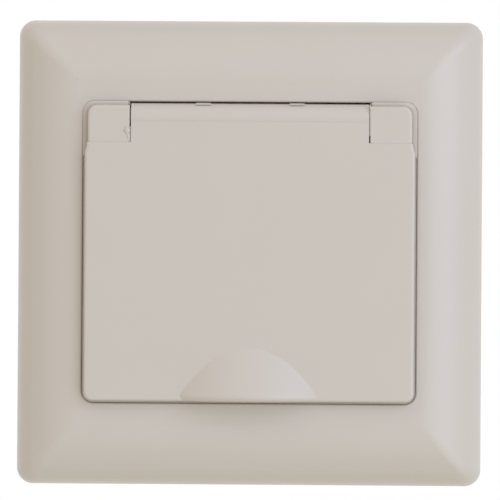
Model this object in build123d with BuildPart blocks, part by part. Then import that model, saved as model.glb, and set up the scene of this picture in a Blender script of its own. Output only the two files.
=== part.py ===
from build123d import *
import os
from math import atan, cos, radians, sin, sqrt, tan

os.makedirs("parts", exist_ok=True)

# The socket faces -Y, +Z is up, the wall is the plane Y = 0 and the well's axis is the Y axis.
# A depth is a distance in front of the wall, and is negative behind it.

# Cover frame
frame_side = 82.0
frame_depth = 9.6
frame_corner = 2.9
frame_edge = 0.6
frame_wall = 1.8
crest_margin = 0.8
opening_width = 58.5
opening_height = 52.8
opening_corner = 2.0
opening_wall = 1.6
opening_edge = 0.35
seat_width = 1.2
seat_thickness = 2.4
rib_thickness = 1.2
rib_spacing = 36.0

# Lid and its hinge
lid_proud = 2.2
lid_gap = 0.4
hinge_gap = 0.3
lid_skin = 2.0
lid_corner = 1.6
lid_edge = 0.5
lid_taper = 0.3
lid_taper_height = 1.2
lid_taper_start = 9.0
skirt_wall = 1.2
tab_width = 41.6
slit_width = 0.25
barrel_radius = 2.5
barrel_step = 0.1
rod_radius = 0.8
rod_clearance = 0.08
ear_reach = 5.0
ear_gap = 0.08
hinge_clearance = 0.3
collar_spacing = 16.4
collar_width = 2.6
collar_height = 0.15
collar_start = 2.2
grip_width = 25.2
grip_height = 9.3
grip_reach = 4.0
grip_edge = 0.9

# Lid spring
spring_wire = 0.4
spring_play = 0.15
spring_pitch = 0.5
spring_turns = 4.5
spring_leg = 3.4
spring_room = 0.3

# Socket insert
insert_gap = 0.05
ear_inset = 0.9
ear_drop = 0.7
ear_corner = 1.6
ear_edge = 0.5
boss_radius = 1.7
boss_gap = 0.08
rod_end = 1.4
mouth_gap = 0.6
plate_skin = 1.8
plate_corner = 1.2
well_diameter = 39.0
well_length = 17.5
well_edge = 0.8
tube_wall = 1.5
tube_lip = 1.3
guide_width = 4.6
guide_height = 2.3

# Floor of the well and the pins that go through it
floor_thickness = 2.4
floor_gap = 0.3
pin_spacing = 19.0
pin_hole_radius = 2.7
seat_gap = 0.1

# Earth bracket
strip_thickness = 0.9
strip_width = 8.0
strip_side_gap = 0.3
clip_bulge = 2.6
clip_tip = 14.0
clip_crown = 9.6
clip_foot = 3.6

# Support ring
ring_rim = 4.5
ring_chamfer = 9.0
ring_thickness = 1.0
box_screw_spacing = 60.0
box_slot_radius = 1.9
box_slot_length = 4.8
box_screw_head = 9.0
corner_hole = 4.0
corner_hole_spacing = 54.0
rivet_radius = 1.2
rivet_head_radius = 1.9
rivet_head = 0.7

# Base
sleeve_gap = 0.4
sleeve_wall = 1.8
base_flange = 4.2
base_flange_thickness = 2.5
base_floor = 3.0
base_depth = 31.0
base_edge = 0.8
block_corner = 2.5
block_top = 8.5
block_wall = 1.5
chamber_gap = 0.5

# Contacts and terminals
contact_bore = 2.45
contact_wall = 0.75
contact_length = 15.0
contact_slit = 0.6
contact_slit_length = 9.0
bar_width = 5.2
bar_thickness = 0.9
bar_gap = 0.2
bar_end = 3.0
bar_drop = 14.1
terminal_spacing = 11.5
clamp_length = 7.0
clamp_end = 4.5
clamp_wall = 0.9
clamp_thread_wall = 1.6
clamp_side_gap = 0.2
clamp_gap = 0.4
wire_room = 4.8
clamp_travel = 4.4
terminal_screw_radius = 1.75
terminal_head_radius = 2.75
terminal_head = 1.7
screw_gap = 0.1

# Screws
screw_slot = 0.8
screw_slot_share = 0.5
centre_screw_radius = 1.6
centre_screw_length = 14.0
centre_head_radius = 3.2

# Claws
claw_width = 8.0
claw_thickness = 1.2
claw_room = 0.4
claw_offset = 7.1
claw_inset = 1.25
claw_lever = 3.4
claw_arm = 6.5
claw_length = 16.5
claw_flare = 0.5
claw_flare_length = 3.0
claw_bend = 1.2
claw_angle = 22.0
claw_teeth = 3
claw_tooth = 1.6
claw_screw_radius = 1.5
claw_screw_length = 16.0
claw_head_radius = 2.6
claw_head = 2.0

# Section of the border: a quarter oval of two arcs, upright at the frame's side and level at the crest, that
# meet where both run along its chord
border_width = (frame_side - max(opening_width, opening_height)) / 2 - crest_margin
crown_rise = frame_depth - frame_edge
chord = sqrt(border_width**2 + crown_rise**2)
flank_radius = chord * (chord - border_width + crown_rise) / (2 * border_width)
crown_radius = chord * (chord + border_width - crown_rise) / (2 * crown_rise)
chord_slope = atan(crown_rise / border_width)
upright = radians(90)


def border(slope, wall):
    """Inset from the frame's side, and depth, this wall behind where the border's face has this slope."""
    steep = max(slope, chord_slope)
    flat = min(slope, chord_slope)
    inset = flank_radius * (1 - sin(steep)) + crown_radius * (sin(chord_slope) - sin(flat))
    depth = frame_edge + flank_radius * cos(steep) + crown_radius * (cos(flat) - cos(chord_slope))
    return inset + wall * sin(slope), depth - wall * cos(slope)


def front(depth):
    """Plane parallel to the wall at this depth, with its normal towards the viewer."""
    return Plane.XZ.offset(depth)


def span(x0, y0, x1, y1, mode=Mode.ADD):
    """Rectangle between two corners of the sketch."""
    with Locations(((x0 + x1) / 2, (y0 + y1) / 2)):
        Rectangle(abs(x1 - x0), abs(y1 - y0), mode=mode)


# Levels and places that follow from the sizes above
section_slopes = (upright, (upright + chord_slope) / 2, chord_slope, chord_slope / 2, 0)
section_planes = (Plane((0, 0, 0), (1, 0, 0), (0, 0, -1)), Plane((0, 0, 0), (0, 0, 1), (1, 0, 0)))
seat_depth = ring_thickness + seat_thickness

lid_depth = frame_depth + lid_proud
lid_inside = lid_depth - lid_skin
lid_width = opening_width - 2 * lid_gap
lid_bottom = lid_gap - opening_height / 2
hinge_depth = lid_depth - barrel_step - barrel_radius
hinge_height = opening_height / 2 - hinge_gap - barrel_radius
hinge_plane = Plane.YZ
hinge_point = (-hinge_depth, hinge_height)
crease_height = hinge_height - sqrt(barrel_radius**2 - (barrel_radius - barrel_step) ** 2)
lid_reach = ear_reach + ear_gap
taper_height = opening_height / 2 - lid_taper_start
coil_radius = rod_radius + spring_play + spring_wire / 2
spring_pocket = coil_radius + spring_wire / 2 + spring_room
spring_length = spring_turns * spring_pitch

insert_back = seat_depth + seat_gap
insert_width = opening_width - 2 * insert_gap
insert_height = opening_height - 2 * insert_gap
insert_top = insert_height / 2
ear_inner = tab_width / 2 + slit_width
ear_outer = opening_width / 2 - ear_inset
ear_top = opening_height / 2 - ear_drop
mouth_depth = lid_inside - mouth_gap
skirt_depth = mouth_depth + hinge_clearance
trough_radius = barrel_radius + hinge_clearance + collar_height
trough_depth = hinge_depth - trough_radius
hollow_top = hinge_height - trough_radius - plate_skin
hollow_bottom = plate_skin - insert_top

well_radius = well_diameter / 2
tube_radius = well_radius + tube_wall
floor_depth = mouth_depth - well_length
floor_back = floor_depth - floor_thickness
strip_front = floor_back - seat_gap
strip_back = strip_front - strip_thickness
base_front = strip_back - seat_gap

ring_side = box_screw_spacing + 2 * ring_rim
sleeve_inner = tube_radius + sleeve_gap
sleeve_outer = sleeve_inner + sleeve_wall
rivet_circle = sleeve_outer + rivet_head_radius + screw_gap
block_back = -base_depth

terminal_places = (-terminal_spacing, 0, terminal_spacing)
clamp_inner = bar_width + 2 * bar_gap
clamp_outer = clamp_inner + 2 * clamp_wall
pocket_width = clamp_outer + 2 * clamp_side_gap
bar_top = -bar_drop
bar_bottom = bar_top - bar_thickness
clamp_top = bar_top + wire_room + clamp_wall
clamp_bottom = bar_bottom - clamp_gap - clamp_thread_wall
pocket_top = clamp_top + clamp_gap
pocket_bottom = clamp_bottom - clamp_travel - clamp_gap
block_bottom = pocket_bottom - block_wall
block_width = 2 * terminal_spacing + pocket_width + 2 * block_wall
clamp_back = block_back + clamp_end
clamp_middle = clamp_back + clamp_length / 2
pocket_front = clamp_back + clamp_length + clamp_wall
bar_back = block_back + bar_end

contact_radius = contact_bore + contact_wall
contact_front = base_front - seat_gap
claw_pivot = sleeve_outer - claw_inset
claw_screw_place = claw_pivot + claw_lever

# Frame hollow and the crowned block round it, one wall apart: a section with a quarter oval at each side and
# a level crest runs both ways across the frame, and what both runs share is the mitred form
crowned = {}
for wall in (0, frame_wall):
    with BuildPart() as crowned_block:
        for plane, mode in zip(section_planes, (Mode.ADD, Mode.INTERSECT)):
            with BuildSketch(plane):
                with BuildLine():
                    for side in (1, -1):
                        insets = [border(slope, wall) for slope in section_slopes]
                        points = [(side * (frame_side / 2 - inset), depth) for inset, depth in insets]
                        Line((points[0][0], 0), points[0])
                        ThreePointArc(*points[:3])
                        ThreePointArc(*points[2:])
                        Line(points[-1], (0, frame_depth - wall))
                        Line((points[0][0], 0), (0, 0))
                make_face()
            extrude(amount=frame_side / 2, both=True, mode=mode)
    crowned[wall] = crowned_block.part

with BuildPart() as frame_hollow:
    add(crowned[frame_wall])
    with BuildSketch(front(ring_thickness)):
        RectangleRounded(
            opening_width + 2 * opening_wall,
            opening_height + 2 * opening_wall,
            opening_corner + opening_wall,
        )
    extrude(amount=frame_depth, mode=Mode.SUBTRACT)
    with BuildSketch(front(seat_depth)):
        with GridLocations(rib_spacing, 0, 2, 1):
            Rectangle(rib_thickness, frame_side)
        with GridLocations(0, rib_spacing, 1, 2):
            Rectangle(frame_side, rib_thickness)
    extrude(amount=frame_depth, mode=Mode.SUBTRACT)

with BuildPart() as cover_frame:
    add(crowned[0])
    mitres = cover_frame.edges().filter_by(GeomType.ELLIPSE) + cover_frame.edges().filter_by(Axis.Y)
    fillet(mitres, frame_corner)
    add(frame_hollow.part, mode=Mode.SUBTRACT)
    with BuildSketch(front(seat_depth)):
        RectangleRounded(opening_width, opening_height, opening_corner)
    extrude(amount=frame_depth, mode=Mode.SUBTRACT)
    fillet(cover_frame.faces().sort_by(Axis.Y)[0].inner_wires()[0].edges(), opening_edge)
    with BuildSketch(front(0)):
        RectangleRounded(opening_width - 2 * seat_width, opening_height - 2 * seat_width, opening_corner)
        Rectangle(box_screw_spacing + box_screw_head, box_screw_head)
        Rectangle(box_screw_head, box_screw_spacing + box_screw_head)
    extrude(amount=seat_depth, mode=Mode.SUBTRACT)
cover_frame.part.label = "cover_frame"
export_step(cover_frame.part, "parts/cover_frame.step")

# Grip lip: a round segment drawn on the lid's lower edge and carried up and back into its face
grip_radius = ((grip_width / 2) ** 2 + grip_reach**2) / (2 * grip_reach)
with BuildPart() as grip:
    with BuildSketch(Plane.XY.offset(lid_bottom)):
        with Locations((0, grip_radius - grip_reach - lid_depth)):
            Circle(grip_radius)
        with Locations((0, -lid_depth - grip_reach)):
            Rectangle(2 * grip_width, 2 * grip_reach + lid_skin, mode=Mode.INTERSECT)
    extrude(amount=2 * grip_height, dir=(0, grip_reach / grip_height, 1))
    fillet(grip.edges().filter_by(GeomType.CIRCLE).sort_by(Axis.Z)[0], grip_edge)
    split(bisect_by=front(lid_depth - lid_skin / 2), keep=Keep.TOP)

with BuildPart() as lid:
    with BuildSketch(front(skirt_depth)) as tray:
        with BuildLine():
            side_points = [
                (lid_width / 2, lid_bottom),
                (lid_width / 2, taper_height),
                (lid_width / 2 - lid_taper, taper_height + lid_taper_height),
                (lid_width / 2 - lid_taper, crease_height),
            ]
            Polyline(*side_points, *[(-x, z) for x, z in reversed(side_points)], close=True)
        make_face()
        fillet(tray.vertices().group_by(Axis.Y)[0], lid_corner)
    extrude(amount=lid_depth - skirt_depth)
    with BuildSketch(front(skirt_depth)):
        with Locations((0, lid_bottom + skirt_wall + opening_height / 2)):
            Rectangle(lid_width - 2 * skirt_wall, opening_height)
    extrude(amount=lid_inside - skirt_depth, mode=Mode.SUBTRACT)
    face_edges = lid.faces().sort_by(Axis.Y)[0].edges().sort_by(Axis.Z)[:-1]
    fillet(face_edges, lid_edge)
    for end in (1, -1):
        with BuildSketch(hinge_plane.offset(end * tab_width / 2)):
            with Locations(hinge_point):
                Circle(lid_reach)
        extrude(amount=end * opening_width, mode=Mode.SUBTRACT)
    with BuildSketch(hinge_plane):
        with Locations(hinge_point):
            Circle(barrel_radius)
        with Locations((-(lid_inside + hinge_depth + barrel_radius) / 2, hinge_height - barrel_radius / 2)):
            Rectangle(hinge_depth + barrel_radius - lid_inside, barrel_radius)
    extrude(amount=tab_width / 2, both=True)
    for side in (1, -1):
        with BuildSketch(hinge_plane.offset(side * collar_spacing / 2)):
            with Locations(hinge_point):
                Circle(barrel_radius + collar_height)
            span(-lid_depth, hinge_height + collar_start, 0, opening_height / 2, mode=Mode.INTERSECT)
        extrude(amount=collar_width / 2, both=True)
    with BuildSketch(hinge_plane):
        with Locations(hinge_point):
            Circle(rod_radius + rod_clearance)
    extrude(amount=tab_width, both=True, mode=Mode.SUBTRACT)
    with BuildSketch(hinge_plane):
        with Locations(hinge_point):
            Circle(spring_pocket)
        span(-hinge_depth, hinge_height - spring_pocket, 0, hinge_height + spring_pocket)
        leg_front = -hinge_depth - spring_pocket + spring_room / 2
        span(leg_front, hinge_height - spring_leg - spring_room, 0, hinge_height)
    extrude(amount=spring_length / 2 + spring_wire + spring_room, both=True, mode=Mode.SUBTRACT)
    add(grip.part)
lid.part.label = "lid"
export_step(lid.part, "parts/lid.step")

# The rod stops short of the ears' outer faces
with BuildPart() as hinge_rod:
    with BuildSketch(hinge_plane):
        with Locations(hinge_point):
            Circle(rod_radius)
    extrude(amount=ear_outer - rod_end - rod_clearance, both=True)
hinge_rod.part.label = "hinge_rod"
export_step(hinge_rod.part, "parts/hinge_rod.step")

# The spring's coil starts behind the rod, with its short leg in the trough, and ends with a leg down the lid
coil_plane = Plane(
    origin=(-spring_length / 2, -hinge_depth, hinge_height), x_dir=(0, 1, 0), z_dir=(1, 0, 0)
)
trough_leg = sqrt((trough_radius - spring_wire) ** 2 - coil_radius**2)
coil = coil_plane * Helix(spring_pitch, spring_length, coil_radius)
spring_path = Wire(
    [
        Edge.make_line(coil @ 0 - (coil % 0) * trough_leg, coil @ 0),
        coil.edge(),
        Edge.make_line(coil @ 1, coil @ 1 + (coil % 1) * spring_leg),
    ]
)
with BuildPart() as lid_spring:
    with BuildSketch(Plane(origin=spring_path @ 0, z_dir=spring_path % 0)):
        Circle(spring_wire / 2)
    sweep(path=spring_path, is_frenet=True)
lid_spring.part.label = "lid_spring"
export_step(lid_spring.part, "parts/lid_spring.step")

# Ears: flush with the lid, round at their outer upper corners and, below, about the hinge, clear of the lid
with BuildPart() as ears:
    with BuildSketch(front(mouth_depth)) as ear_plan:
        span(ear_inner, hinge_height - ear_reach, ear_outer, ear_top)
        fillet(ear_plan.vertices().group_by(Axis.Y)[-1].sort_by(Axis.X)[-1], ear_corner)
    extrude(amount=lid_depth - mouth_depth)
    ear_face = ears.faces().sort_by(Axis.Y)[0]
    fillet(ear_face.edges().filter_by(GeomType.LINE).sort_by(Axis.X)[-1], ear_edge)
    with BuildSketch(hinge_plane.offset(ear_inner)):
        with Locations(hinge_point):
            Circle(ear_reach)
    extrude(amount=ear_outer - ear_inner, mode=Mode.INTERSECT)
    mirror(about=hinge_plane)

with BuildPart() as socket_insert:
    with BuildSketch(front(insert_back)):
        RectangleRounded(insert_width, insert_height, opening_corner - insert_gap)
    extrude(amount=mouth_depth - insert_back)
    with BuildSketch(front(insert_back)):
        with Locations((0, (hollow_top + hollow_bottom) / 2)):
            RectangleRounded(insert_width - 2 * plate_skin, hollow_top - hollow_bottom, plate_corner)
        Circle(tube_radius, mode=Mode.SUBTRACT)
    extrude(amount=mouth_depth - plate_skin - insert_back, mode=Mode.SUBTRACT)
    with BuildSketch(front(insert_back)):
        Circle(tube_radius)
    extrude(amount=strip_back - insert_back)
    add(ears.part)
    with BuildSketch(hinge_plane):
        with Locations(hinge_point):
            Circle(trough_radius)
        span(-lid_depth, hinge_height, -trough_depth, opening_height / 2)
    extrude(amount=ear_inner, both=True, mode=Mode.SUBTRACT)
    for side in (1, -1):
        with BuildSketch(hinge_plane.offset(side * ear_inner)):
            with Locations(hinge_point):
                Circle(boss_radius)
        extrude(amount=-side * (slit_width - boss_gap))
    with BuildSketch(hinge_plane):
        with Locations(hinge_point):
            Circle(rod_radius + rod_clearance)
    extrude(amount=ear_outer - rod_end, both=True, mode=Mode.SUBTRACT)
    with BuildSketch(front(floor_back)):
        Circle(well_radius)
    extrude(amount=mouth_depth - floor_back, mode=Mode.SUBTRACT)
    with BuildSketch(front(strip_back)):
        Circle(well_radius - tube_lip)
    extrude(amount=floor_back - strip_back, mode=Mode.SUBTRACT)
    fillet(
        socket_insert.edges().filter_by(GeomType.CIRCLE).filter_by_position(
            Axis.Y, -mouth_depth - seat_gap, -mouth_depth + seat_gap
        ).sort_by(SortBy.RADIUS)[-1],
        well_edge,
    )
    with BuildSketch(front(floor_depth + seat_gap)):
        for side in (1, -1):
            span(
                side * (well_radius - guide_height),
                -guide_width / 2,
                side * (well_radius + tube_wall / 2),
                guide_width / 2,
            )
    extrude(amount=well_length - 2 * well_edge)
    with BuildSketch(front(strip_back)):
        for side in (1, -1):
            span(
                -strip_width / 2 - strip_side_gap,
                side * (well_radius - 2 * tube_lip),
                strip_width / 2 + strip_side_gap,
                side * (tube_radius + strip_side_gap),
            )
    extrude(amount=floor_depth + clip_tip + strip_thickness - strip_back, mode=Mode.SUBTRACT)
socket_insert.part.label = "socket_insert"
export_step(socket_insert.part, "parts/socket_insert.step")

with BuildPart() as contact_cover:
    with BuildSketch(front(floor_back)):
        Circle(well_radius - floor_gap)
        with GridLocations(pin_spacing, 0, 2, 1):
            Circle(pin_hole_radius, mode=Mode.SUBTRACT)
    extrude(amount=floor_thickness)
    with Locations(front(floor_depth)):
        CounterSinkHole(
            centre_screw_radius + screw_gap, centre_head_radius + screw_gap, counter_sink_angle=90
        )
contact_cover.part.label = "contact_cover"
export_step(contact_cover.part, "parts/contact_cover.step")

with BuildPart() as centre_screw:
    with BuildSketch(Plane.XY):
        with BuildLine():
            Polyline(
                (0, -floor_depth),
                (centre_head_radius, -floor_depth),
                (centre_screw_radius, centre_head_radius - centre_screw_radius - floor_depth),
                (centre_screw_radius, centre_screw_length - floor_depth),
                (0, centre_screw_length - floor_depth),
                close=True,
            )
        make_face()
    revolve(axis=Axis.Y)
    with BuildSketch(front(floor_depth)):
        Rectangle(3 * centre_head_radius, screw_slot)
    extrude(amount=-screw_slot, mode=Mode.SUBTRACT)
centre_screw.part.label = "centre_screw"
export_step(centre_screw.part, "parts/centre_screw.step")

# Earth bracket: one bent strip whose ends rise in the tube's slots and bulge into the well
clip_line = well_radius + strip_thickness / 2 + seat_gap
strip_middle = -(strip_front + strip_back) / 2
half_path = [
    (-floor_depth - clip_tip, clip_line - strip_thickness / 2),
    (-floor_depth - clip_crown, clip_line - clip_bulge),
    (-floor_depth - clip_foot, clip_line - seat_gap),
    (strip_middle, clip_line),
]
with BuildPart() as earth_bracket:
    with BuildSketch(Plane.YZ):
        with BuildLine():
            FilletPolyline(
                *half_path,
                *[(y, -z) for y, z in reversed(half_path)],
                radius=[clip_bulge, clip_bulge, strip_thickness, strip_thickness, clip_bulge, clip_bulge],
            )
        trace(line_width=strip_thickness)
    extrude(amount=strip_width / 2, both=True)
    with BuildSketch(front(strip_front - strip_thickness / 2)):
        span(-bar_width / 2, bar_bottom, bar_width / 2, bar_top)
    extrude(amount=bar_back - strip_front + strip_thickness / 2)
    with BuildSketch(front(strip_front)):
        Circle(centre_screw_radius + 2 * screw_gap)
    extrude(amount=-2 * strip_thickness, mode=Mode.SUBTRACT)
earth_bracket.part.label = "earth_bracket"
export_step(earth_bracket.part, "parts/earth_bracket.step")

with BuildPart() as support_ring:
    with BuildSketch(front(0)) as ring_sketch:
        Rectangle(ring_side, ring_side)
        chamfer(ring_sketch.vertices(), ring_chamfer)
        Circle(sleeve_inner, mode=Mode.SUBTRACT)
        with PolarLocations(box_screw_spacing / 2, 4):
            SlotOverall(box_slot_length, 2 * box_slot_radius, mode=Mode.SUBTRACT)
        with GridLocations(2 * claw_screw_place, 0, 2, 1):
            Circle(claw_screw_radius + screw_gap, mode=Mode.SUBTRACT)
        with PolarLocations(rivet_circle, 4, start_angle=45):
            Circle(rivet_radius + screw_gap, mode=Mode.SUBTRACT)
        with GridLocations(corner_hole_spacing, corner_hole_spacing, 2, 2):
            Rectangle(corner_hole, corner_hole, mode=Mode.SUBTRACT)
    extrude(amount=ring_thickness)
support_ring.part.label = "support_ring"
export_step(support_ring.part, "parts/support_ring.step")

with BuildPart() as ring_rivets:
    for level, thickness in ((ring_thickness, rivet_head), (-base_flange_thickness, -rivet_head)):
        with BuildSketch(front(level)):
            with PolarLocations(rivet_circle, 4, start_angle=45):
                Circle(rivet_head_radius)
        extrude(amount=thickness)
    with BuildSketch(front(ring_thickness)):
        with PolarLocations(rivet_circle, 4, start_angle=45):
            Circle(rivet_radius)
    extrude(amount=-ring_thickness - base_flange_thickness)
ring_rivets.part.label = "ring_rivets"
export_step(ring_rivets.part, "parts/ring_rivets.step")

# Base: sleeve and flange round the well's tube, and a block behind them with chambers and terminal pockets
with BuildPart() as base:
    with BuildSketch(front(base_front)) as block_sketch:
        span(-block_width / 2, block_bottom, block_width / 2, block_top)
        fillet(block_sketch.vertices(), block_corner)
    extrude(amount=block_back - base_front)
    fillet(base.faces().sort_by(Axis.Y)[-1].edges(), base_edge)
    with BuildSketch(front(0)):
        Circle(sleeve_outer)
    extrude(amount=base_front - base_floor)
    with BuildSketch(front(0)):
        Circle(sleeve_outer + base_flange)
    extrude(amount=-base_flange_thickness)
    with BuildSketch(front(0)):
        Circle(sleeve_inner)
    extrude(amount=base_front, mode=Mode.SUBTRACT)
    with BuildSketch(front(base_front)):
        with GridLocations(pin_spacing, 0, 2, 1):
            Circle(contact_radius + chamber_gap)
    extrude(amount=-contact_length - chamber_gap, mode=Mode.SUBTRACT)
    with BuildSketch(front(base_front)):
        for place in (-terminal_spacing, terminal_spacing):
            span(place - bar_width / 2 - bar_gap, bar_bottom - bar_gap, place + bar_width / 2 + bar_gap, 0)
    extrude(amount=-bar_thickness - 2 * seat_gap - bar_gap, mode=Mode.SUBTRACT)
    with BuildSketch(front(base_front)):
        for place in terminal_places:
            span(
                place - bar_width / 2 - bar_gap,
                bar_bottom - bar_gap,
                place + bar_width / 2 + bar_gap,
                bar_top + bar_gap,
            )
    extrude(amount=pocket_front - base_front, mode=Mode.SUBTRACT)
    with BuildSketch(front(block_back)):
        for place in terminal_places:
            span(place - pocket_width / 2, pocket_bottom, place + pocket_width / 2, pocket_top)
    extrude(amount=pocket_front - block_back, mode=Mode.SUBTRACT)
    with BuildSketch(Plane.XY.offset(block_bottom)):
        for place in terminal_places:
            with Locations((place, -clamp_middle)):
                Circle(terminal_screw_radius + bar_gap)
    extrude(amount=block_wall, mode=Mode.SUBTRACT)
    with BuildSketch(front(base_front)):
        Circle(centre_screw_radius + screw_gap)
    extrude(amount=-centre_screw_length, mode=Mode.SUBTRACT)
    with BuildSketch(front(0)):
        with PolarLocations(rivet_circle, 4, start_angle=45):
            Circle(rivet_radius + screw_gap)
        for side in (1, -1):
            span(
                side * sleeve_outer,
                -claw_width / 2 - claw_room,
                side * (sleeve_outer + 2 * base_flange),
                claw_width / 2 + claw_room,
            )
    extrude(amount=-base_flange_thickness, mode=Mode.SUBTRACT)
    with BuildSketch(Plane.XY):
        for side in (1, -1):
            span(
                side * (sleeve_inner - sleeve_wall),
                claw_offset - claw_thickness / 2 - claw_room,
                side * (sleeve_outer + sleeve_wall),
                claw_offset + claw_thickness + claw_room,
            )
            span(
                side * (claw_pivot + claw_room),
                claw_offset - claw_thickness - claw_room,
                side * (sleeve_outer + sleeve_wall),
                claw_offset,
            )
    extrude(amount=claw_width / 2 + claw_room, both=True, mode=Mode.SUBTRACT)
base.part.label = "base"
export_step(base.part, "parts/base.step")

# Contacts: a slit sleeve for the pin, and a strip from it down and back into the terminal
for side, pole in ((-1, "live"), (1, "neutral")):
    place = side * terminal_spacing
    with BuildPart() as contact:
        with BuildSketch(front(contact_front)):
            with Locations((side * pin_spacing / 2, 0)):
                Circle(contact_radius)
                Circle(contact_bore, mode=Mode.SUBTRACT)
        extrude(amount=-contact_length)
        with BuildSketch(front(contact_front)):
            span(place - bar_width / 2, bar_bottom, place + bar_width / 2, -contact_bore - contact_wall / 3)
        extrude(amount=-bar_thickness)
        with BuildSketch(front(contact_front)):
            span(place - bar_width / 2, bar_bottom, place + bar_width / 2, bar_top)
        extrude(amount=bar_back - contact_front)
        with BuildSketch(front(contact_front)):
            with Locations((side * pin_spacing / 2, 0)):
                Rectangle(3 * contact_radius, contact_slit)
            with Locations((side * pin_spacing / 2, contact_radius)):
                Rectangle(contact_slit, 2 * contact_radius)
        extrude(amount=-contact_slit_length, mode=Mode.SUBTRACT)
    contact.part.label = f"contact_{pole}"
    export_step(contact.part, f"parts/contact_{pole}.step")

# Terminals: a cage that its screw draws down, so that it lifts the wire against the bar
for place, pole in zip(terminal_places, ("live", "earth", "neutral")):
    with BuildPart() as clamp:
        with BuildSketch(front(clamp_back)):
            span(place - clamp_outer / 2, clamp_bottom, place + clamp_outer / 2, clamp_top)
            span(
                place - clamp_inner / 2,
                clamp_bottom + clamp_thread_wall,
                place + clamp_inner / 2,
                clamp_top - clamp_wall,
                mode=Mode.SUBTRACT,
            )
        extrude(amount=clamp_length)
        with BuildSketch(Plane.XY.offset(clamp_bottom)):
            with Locations((place, -clamp_middle)):
                Circle(terminal_screw_radius + screw_gap)
        extrude(amount=clamp_thread_wall, mode=Mode.SUBTRACT)
    clamp.part.label = f"terminal_clamp_{pole}"
    export_step(clamp.part, f"parts/terminal_clamp_{pole}.step")

    with BuildPart() as terminal_screw:
        with BuildSketch(Plane.XY.offset(block_bottom)):
            with Locations((place, -clamp_middle)):
                Circle(terminal_screw_radius)
        extrude(amount=bar_bottom - screw_gap - block_bottom)
        with BuildSketch(Plane.XY.offset(block_bottom)):
            with Locations((place, -clamp_middle)):
                Circle(terminal_head_radius)
        extrude(amount=-terminal_head)
        with BuildSketch(Plane.XY.offset(block_bottom - terminal_head)):
            with Locations((place, -clamp_middle)):
                Rectangle(3 * terminal_head_radius, screw_slot)
        extrude(amount=terminal_head * screw_slot_share, mode=Mode.SUBTRACT)
    terminal_screw.part.label = f"terminal_screw_{pole}"
    export_step(terminal_screw.part, f"parts/terminal_screw_{pole}.step")

# Claws: an arm that turns on its rounded inner end when its screw draws the tab forward
claw_turn = radians(claw_angle)
slot_play = claw_thickness / 2 * tan(claw_turn) + screw_gap
slot_start = (claw_lever - claw_screw_radius) / cos(claw_turn) - slot_play
slot_end = (claw_lever + claw_screw_radius) / cos(claw_turn) + slot_play
claw_end = claw_offset + claw_length
for side, name in ((-1, "left"), (1, "right")):
    arm_place = side * (claw_pivot + claw_arm)
    with BuildPart() as claw:
        with BuildSketch(Plane.XY):
            with BuildLine():
                FilletPolyline(
                    (side * claw_pivot, claw_offset),
                    (arm_place, claw_offset),
                    (arm_place, claw_end - claw_flare_length),
                    (arm_place + side * claw_flare, claw_end),
                    radius=claw_bend,
                )
            trace(line_width=claw_thickness)
            with Locations((side * claw_pivot, claw_offset)):
                Circle(claw_thickness / 2)
        extrude(amount=claw_width / 2, both=True)
        with BuildSketch(front(-claw_offset)):
            with Locations((side * (claw_pivot + (slot_start + slot_end) / 2), 0)):
                SlotOverall(slot_end - slot_start, 2 * (claw_screw_radius + screw_gap))
        extrude(amount=claw_thickness, both=True, mode=Mode.SUBTRACT)
        with BuildSketch(Plane.YZ):
            for notch in range(1, claw_teeth):
                height = notch * claw_width / claw_teeth - claw_width / 2
                with BuildLine():
                    Polyline(
                        (claw_end - claw_tooth, height),
                        (claw_end + claw_tooth, height - claw_tooth),
                        (claw_end + claw_tooth, height + claw_tooth),
                        close=True,
                    )
                make_face()
        extrude(amount=side * ring_side, mode=Mode.SUBTRACT)
    claw.part.label = f"claw_{name}"
    export_step(claw.part, f"parts/claw_{name}.step")

    with BuildPart() as claw_screw:
        with BuildSketch(front(ring_thickness)):
            with Locations((side * claw_screw_place, 0)):
                Circle(claw_screw_radius)
        extrude(amount=-claw_screw_length)
        with BuildSketch(front(ring_thickness)):
            with Locations((side * claw_screw_place, 0)):
                Circle(claw_head_radius)
        extrude(amount=claw_head)
        with BuildSketch(front(ring_thickness + claw_head)):
            with Locations((side * claw_screw_place, 0)):
                Rectangle(screw_slot, 3 * claw_head_radius)
        extrude(amount=-claw_head * screw_slot_share, mode=Mode.SUBTRACT)
    claw_screw.part.label = f"claw_screw_{name}"
    export_step(claw_screw.part, f"parts/claw_screw_{name}.step")
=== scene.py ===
"""Looks of a flush wall socket with a hinged lid: finishes for its mouldings and metal pieces,
threaded screws, a coiled lid spring, the moulding flash at its ears, and a studio stage."""

from math import cos, radians, sin

import bmesh
import bpy
import numpy as np
from bpy.props import FloatProperty, FloatVectorProperty, PointerProperty
from mathutils import Matrix, Vector


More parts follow.
